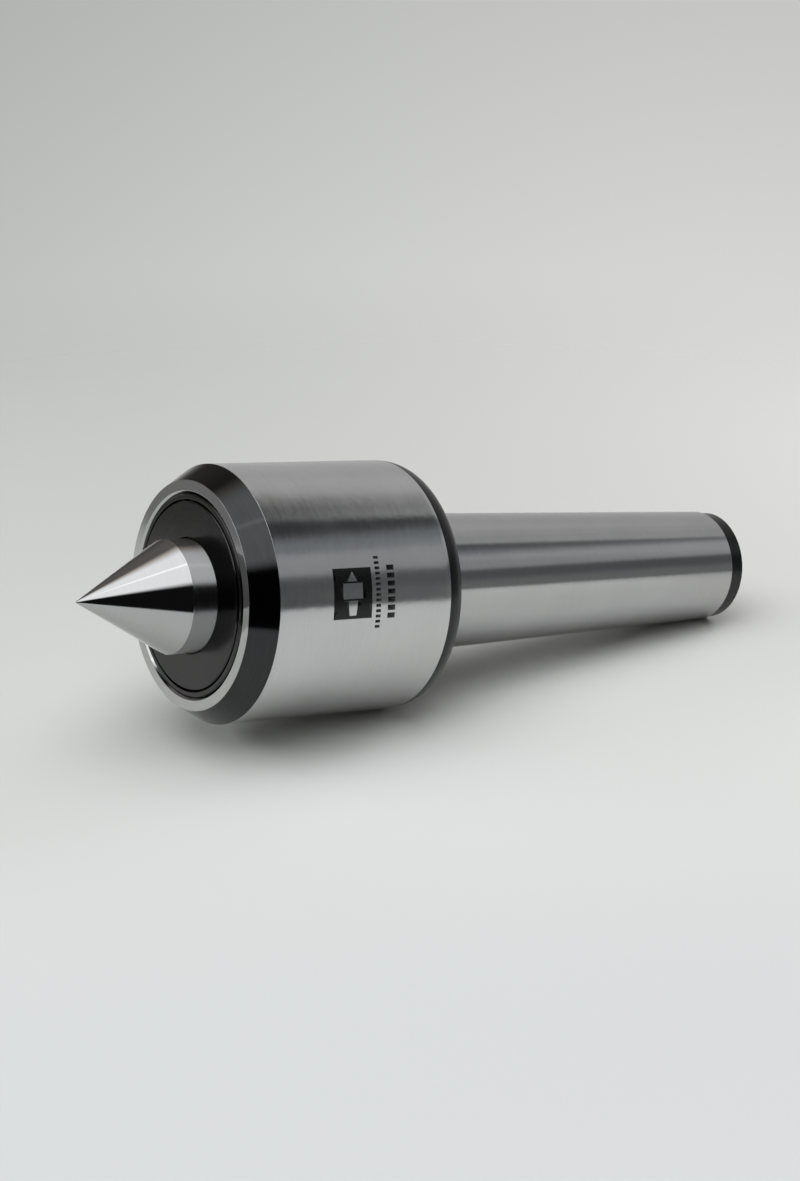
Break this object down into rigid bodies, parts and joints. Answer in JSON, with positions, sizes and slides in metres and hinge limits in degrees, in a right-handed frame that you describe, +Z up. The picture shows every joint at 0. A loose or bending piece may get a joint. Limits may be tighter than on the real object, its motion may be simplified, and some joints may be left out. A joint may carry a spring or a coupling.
{
  "type": "live center",
  "caption": "Revolving lathe center: a steep conical point turns in a thick round housing that has a black chamfered front edge and a long self-holding tapered shank.",
  "frame": {"origin": "on the turning axis, at the gauge plane of the tapered shank", "axes": "+X along the turning axis towards the tip of the point, +Z up"},
  "size_m": [0.2495, 0.079, 0.079],
  "materials": {
    "ground_steel": "fine circumferential grinding, satin; front chamfer, rear edge and shank end are black oxide",
    "point_steel": "hardened steel, finely ground and polished",
    "black_nut": "black oxide over a turned face",
    "black_disc": "black oxide over a turned face",
    "dark_steel": "black oxide",
    "washer_steel": "pressed sheet, satin",
    "ring_steel": "ground bearing steel",
    "ball_steel": "lapped bearing steel",
    "cup_steel": "drawn steel",
    "spring_steel": "coiled wire",
    "rubber": "moulded nitrile, matt",
    "seal_rubber": "moulded seal rubber, matt brown",
    "cage_brass": "machined",
    "cage_plastic": "moulded nylon"
  },
  "bodies": {
    "housing": {"housing": "ground_steel", "front_nut": "black_nut", "nut_o_ring": "rubber", "shaft_seal": "seal_rubber", "seal_garter_spring": "spring_steel", "front_bearing_outer_ring": "ring_steel", "thrust_housing_washer": "ring_steel", "thrust_shim": "washer_steel", "rear_bearing_cup": "cup_steel"},
    "spindle": {"spindle": "point_steel", "sealing_disc": "black_disc", "disc_o_ring": "rubber", "front_bearing_inner_ring": "ring_steel", "tab_washer": "washer_steel", "spindle_lock_nut": "dark_steel", "thrust_shaft_washer": "ring_steel"},
    "front_cage": {"front_bearing_cage": "cage_plastic"},
    "thrust_cage": {"thrust_cage": "cage_brass"},
    "needle_cage": {"needle_cage": "washer_steel"},
    "front_ball_1": {"front_ball_1": "ball_steel"},
    "front_ball_2": {"front_ball_2": "ball_steel"},
    "front_ball_3": {"front_ball_3": "ball_steel"},
    "front_ball_4": {"front_ball_4": "ball_steel"},
    "front_ball_5": {"front_ball_5": "ball_steel"},
    "front_ball_6": {"front_ball_6": "ball_steel"},
    "front_ball_7": {"front_ball_7": "ball_steel"},
    "front_ball_8": {"front_ball_8": "ball_steel"},
    "front_ball_9": {"front_ball_9": "ball_steel"},
    "thrust_ball_1": {"thrust_ball_1": "ball_steel"},
    "thrust_ball_2": {"thrust_ball_2": "ball_steel"},
    "thrust_ball_3": {"thrust_ball_3": "ball_steel"},
    "thrust_ball_4": {"thrust_ball_4": "ball_steel"},
    "thrust_ball_5": {"thrust_ball_5": "ball_steel"},
    "thrust_ball_6": {"thrust_ball_6": "ball_steel"},
    "thrust_ball_7": {"thrust_ball_7": "ball_steel"},
    "thrust_ball_8": {"thrust_ball_8": "ball_steel"},
    "thrust_ball_9": {"thrust_ball_9": "ball_steel"},
    "thrust_ball_10": {"thrust_ball_10": "ball_steel"},
    "needle_1": {"needle_1": "ball_steel"},
    "needle_2": {"needle_2": "ball_steel"},
    "needle_3": {"needle_3": "ball_steel"},
    "needle_4": {"needle_4": "ball_steel"},
    "needle_5": {"needle_5": "ball_steel"},
    "needle_6": {"needle_6": "ball_steel"},
    "needle_7": {"needle_7": "ball_steel"},
    "needle_8": {"needle_8": "ball_steel"},
    "needle_9": {"needle_9": "ball_steel"},
    "needle_10": {"needle_10": "ball_steel"},
    "needle_11": {"needle_11": "ball_steel"},
    "needle_12": {"needle_12": "ball_steel"},
    "needle_13": {"needle_13": "ball_steel"},
    "needle_14": {"needle_14": "ball_steel"},
    "needle_15": {"needle_15": "ball_steel"},
    "needle_16": {"needle_16": "ball_steel"}
  },
  "joints": [
    {"name": "spindle_spin", "type": "hinge", "parent": "housing", "child": "spindle", "pos_m": [0.08, 0, 0], "axis": [1, 0, 0], "continuous": true},
    {"name": "front_cage_roll", "type": "hinge", "parent": "housing", "child": "front_cage", "pos_m": [0.0623, 0, 0], "axis": [1, 0, 0], "continuous": true},
    {"name": "thrust_cage_roll", "type": "hinge", "parent": "housing", "child": "thrust_cage", "pos_m": [0.0361, 0, 0], "axis": [1, 0, 0], "continuous": true},
    {"name": "needle_cage_roll", "type": "hinge", "parent": "housing", "child": "needle_cage", "pos_m": [-0.0045, 0, 0], "axis": [1, 0, 0], "continuous": true},
    {"name": "front_ball_1_spin", "type": "hinge", "parent": "front_cage", "child": "front_ball_1", "pos_m": [0.0623, 0, 0.023], "axis": [1, 0, 0], "continuous": true},
    {"name": "front_ball_2_spin", "type": "hinge", "parent": "front_cage", "child": "front_ball_2", "pos_m": [0.0623, -0.01478, 0.01762], "axis": [1, 0, 0], "continuous": true},
    {"name": "front_ball_3_spin", "type": "hinge", "parent": "front_cage", "child": "front_ball_3", "pos_m": [0.0623, -0.02265, 0.00399], "axis": [1, 0, 0], "continuous": true},
    {"name": "front_ball_4_spin", "type": "hinge", "parent": "front_cage", "child": "front_ball_4", "pos_m": [0.0623, -0.01992, -0.0115], "axis": [1, 0, 0], "continuous": true},
    {"name": "front_ball_5_spin", "type": "hinge", "parent": "front_cage", "child": "front_ball_5", "pos_m": [0.0623, -0.00787, -0.02161], "axis": [1, 0, 0], "continuous": true},
    {"name": "front_ball_6_spin", "type": "hinge", "parent": "front_cage", "child": "front_ball_6", "pos_m": [0.0623, 0.00787, -0.02161], "axis": [1, 0, 0], "continuous": true},
    {"name": "front_ball_7_spin", "type": "hinge", "parent": "front_cage", "child": "front_ball_7", "pos_m": [0.0623, 0.01992, -0.0115], "axis": [1, 0, 0], "continuous": true},
    {"name": "front_ball_8_spin", "type": "hinge", "parent": "front_cage", "child": "front_ball_8", "pos_m": [0.0623, 0.02265, 0.00399], "axis": [1, 0, 0], "continuous": true},
    {"name": "front_ball_9_spin", "type": "hinge", "parent": "front_cage", "child": "front_ball_9", "pos_m": [0.0623, 0.01478, 0.01762], "axis": [1, 0, 0], "continuous": true},
    {"name": "thrust_ball_1_spin", "type": "hinge", "parent": "thrust_cage", "child": "thrust_ball_1", "pos_m": [0.0361, 0, 0.01925], "axis": [0, 0, 1], "continuous": true},
    {"name": "thrust_ball_2_spin", "type": "hinge", "parent": "thrust_cage", "child": "thrust_ball_2", "pos_m": [0.0361, -0.01131, 0.01557], "axis": [0, -0.5878, 0.809], "continuous": true},
    {"name": "thrust_ball_3_spin", "type": "hinge", "parent": "thrust_cage", "child": "thrust_ball_3", "pos_m": [0.0361, -0.01831, 0.00595], "axis": [0, -0.9511, 0.309], "continuous": true},
    {"name": "thrust_ball_4_spin", "type": "hinge", "parent": "thrust_cage", "child": "thrust_ball_4", "pos_m": [0.0361, -0.01831, -0.00595], "axis": [0, -0.9511, -0.309], "continuous": true},
    {"name": "thrust_ball_5_spin", "type": "hinge", "parent": "thrust_cage", "child": "thrust_ball_5", "pos_m": [0.0361, -0.01131, -0.01557], "axis": [0, -0.5878, -0.809], "continuous": true},
    {"name": "thrust_ball_6_spin", "type": "hinge", "parent": "thrust_cage", "child": "thrust_ball_6", "pos_m": [0.0361, 0, -0.01925], "axis": [0, 0, -1], "continuous": true},
    {"name": "thrust_ball_7_spin", "type": "hinge", "parent": "thrust_cage", "child": "thrust_ball_7", "pos_m": [0.0361, 0.01131, -0.01557], "axis": [0, 0.5878, -0.809], "continuous": true},
    {"name": "thrust_ball_8_spin", "type": "hinge", "parent": "thrust_cage", "child": "thrust_ball_8", "pos_m": [0.0361, 0.01831, -0.00595], "axis": [0, 0.9511, -0.309], "continuous": true},
    {"name": "thrust_ball_9_spin", "type": "hinge", "parent": "thrust_cage", "child": "thrust_ball_9", "pos_m": [0.0361, 0.01831, 0.00595], "axis": [0, 0.9511, 0.309], "continuous": true},
    {"name": "thrust_ball_10_spin", "type": "hinge", "parent": "thrust_cage", "child": "thrust_ball_10", "pos_m": [0.0361, 0.01131, 0.01557], "axis": [0, 0.5878, 0.809], "continuous": true},
    {"name": "needle_1_spin", "type": "hinge", "parent": "needle_cage", "child": "needle_1", "pos_m": [-0.0045, 0, 0.0114], "axis": [1, 0, 0], "continuous": true},
    {"name": "needle_2_spin", "type": "hinge", "parent": "needle_cage", "child": "needle_2", "pos_m": [-0.0045, -0.00436, 0.01053], "axis": [1, 0, 0], "continuous": true},
    {"name": "needle_3_spin", "type": "hinge", "parent": "needle_cage", "child": "needle_3", "pos_m": [-0.0045, -0.00806, 0.00806], "axis": [1, 0, 0], "continuous": true},
    {"name": "needle_4_spin", "type": "hinge", "parent": "needle_cage", "child": "needle_4", "pos_m": [-0.0045, -0.01053, 0.00436], "axis": [1, 0, 0], "continuous": true},
    {"name": "needle_5_spin", "type": "hinge", "parent": "needle_cage", "child": "needle_5", "pos_m": [-0.0045, -0.0114, 0], "axis": [1, 0, 0], "continuous": true},
    {"name": "needle_6_spin", "type": "hinge", "parent": "needle_cage", "child": "needle_6", "pos_m": [-0.0045, -0.01053, -0.00436], "axis": [1, 0, 0], "continuous": true},
    {"name": "needle_7_spin", "type": "hinge", "parent": "needle_cage", "child": "needle_7", "pos_m": [-0.0045, -0.00806, -0.00806], "axis": [1, 0, 0], "continuous": true},
    {"name": "needle_8_spin", "type": "hinge", "parent": "needle_cage", "child": "needle_8", "pos_m": [-0.0045, -0.00436, -0.01053], "axis": [1, 0, 0], "continuous": true},
    {"name": "needle_9_spin", "type": "hinge", "parent": "needle_cage", "child": "needle_9", "pos_m": [-0.0045, 0, -0.0114], "axis": [1, 0, 0], "continuous": true},
    {"name": "needle_10_spin", "type": "hinge", "parent": "needle_cage", "child": "needle_10", "pos_m": [-0.0045, 0.00436, -0.01053], "axis": [1, 0, 0], "continuous": true},
    {"name": "needle_11_spin", "type": "hinge", "parent": "needle_cage", "child": "needle_11", "pos_m": [-0.0045, 0.00806, -0.00806], "axis": [1, 0, 0], "continuous": true},
    {"name": "needle_12_spin", "type": "hinge", "parent": "needle_cage", "child": "needle_12", "pos_m": [-0.0045, 0.01053, -0.00436], "axis": [1, 0, 0], "continuous": true},
    {"name": "needle_13_spin", "type": "hinge", "parent": "needle_cage", "child": "needle_13", "pos_m": [-0.0045, 0.0114, 0], "axis": [1, 0, 0], "continuous": true},
    {"name": "needle_14_spin", "type": "hinge", "parent": "needle_cage", "child": "needle_14", "pos_m": [-0.0045, 0.01053, 0.00436], "axis": [1, 0, 0], "continuous": true},
    {"name": "needle_15_spin", "type": "hinge", "parent": "needle_cage", "child": "needle_15", "pos_m": [-0.0045, 0.00806, 0.00806], "axis": [1, 0, 0], "continuous": true},
    {"name": "needle_16_spin", "type": "hinge", "parent": "needle_cage", "child": "needle_16", "pos_m": [-0.0045, 0.00436, 0.01053], "axis": [1, 0, 0], "continuous": true}
  ],
  "couplings": [
    {"joint": "front_cage_roll", "follows": "spindle_spin", "ratio": 0.39647},
    {"joint": "thrust_cage_roll", "follows": "spindle_spin", "ratio": 0.5},
    {"joint": "needle_cage_roll", "follows": "spindle_spin", "ratio": 0.44444},
    {"joint": "front_ball_1_spin", "follows": "spindle_spin", "ratio": -2.3112},
    {"joint": "front_ball_2_spin", "follows": "spindle_spin", "ratio": -2.3112},
    {"joint": "front_ball_3_spin", "follows": "spindle_spin", "ratio": -2.3112},
    {"joint": "front_ball_4_spin", "follows": "spindle_spin", "ratio": -2.3112},
    {"joint": "front_ball_5_spin", "follows": "spindle_spin", "ratio": -2.3112},
    {"joint": "front_ball_6_spin", "follows": "spindle_spin", "ratio": -2.3112},
    {"joint": "front_ball_7_spin", "follows": "spindle_spin", "ratio": -2.3112},
    {"joint": "front_ball_8_spin", "follows": "spindle_spin", "ratio": -2.3112},
    {"joint": "front_ball_9_spin", "follows": "spindle_spin", "ratio": -2.3112},
    {"joint": "thrust_ball_1_spin", "follows": "spindle_spin", "ratio": -2.1389},
    {"joint": "thrust_ball_2_spin", "follows": "spindle_spin", "ratio": -2.1389},
    {"joint": "thrust_ball_3_spin", "follows": "spindle_spin", "ratio": -2.1389},
    {"joint": "thrust_ball_4_spin", "follows": "spindle_spin", "ratio": -2.1389},
    {"joint": "thrust_ball_5_spin", "follows": "spindle_spin", "ratio": -2.1389},
    {"joint": "thrust_ball_6_spin", "follows": "spindle_spin", "ratio": -2.1389},
    {"joint": "thrust_ball_7_spin", "follows": "spindle_spin", "ratio": -2.1389},
    {"joint": "thrust_ball_8_spin", "follows": "spindle_spin", "ratio": -2.1389},
    {"joint": "thrust_ball_9_spin", "follows": "spindle_spin", "ratio": -2.1389},
    {"joint": "thrust_ball_10_spin", "follows": "spindle_spin", "ratio": -2.1389},
    {"joint": "needle_1_spin", "follows": "spindle_spin", "ratio": -4.4444},
    {"joint": "needle_2_spin", "follows": "spindle_spin", "ratio": -4.4444},
    {"joint": "needle_3_spin", "follows": "spindle_spin", "ratio": -4.4444},
    {"joint": "needle_4_spin", "follows": "spindle_spin", "ratio": -4.4444},
    {"joint": "needle_5_spin", "follows": "spindle_spin", "ratio": -4.4444},
    {"joint": "needle_6_spin", "follows": "spindle_spin", "ratio": -4.4444},
    {"joint": "needle_7_spin", "follows": "spindle_spin", "ratio": -4.4444},
    {"joint": "needle_8_spin", "follows": "spindle_spin", "ratio": -4.4444},
    {"joint": "needle_9_spin", "follows": "spindle_spin", "ratio": -4.4444},
    {"joint": "needle_10_spin", "follows": "spindle_spin", "ratio": -4.4444},
    {"joint": "needle_11_spin", "follows": "spindle_spin", "ratio": -4.4444},
    {"joint": "needle_12_spin", "follows": "spindle_spin", "ratio": -4.4444},
    {"joint": "needle_13_spin", "follows": "spindle_spin", "ratio": -4.4444},
    {"joint": "needle_14_spin", "follows": "spindle_spin", "ratio": -4.4444},
    {"joint": "needle_15_spin", "follows": "spindle_spin", "ratio": -4.4444},
    {"joint": "needle_16_spin", "follows": "spindle_spin", "ratio": -4.4444}
  ]
}
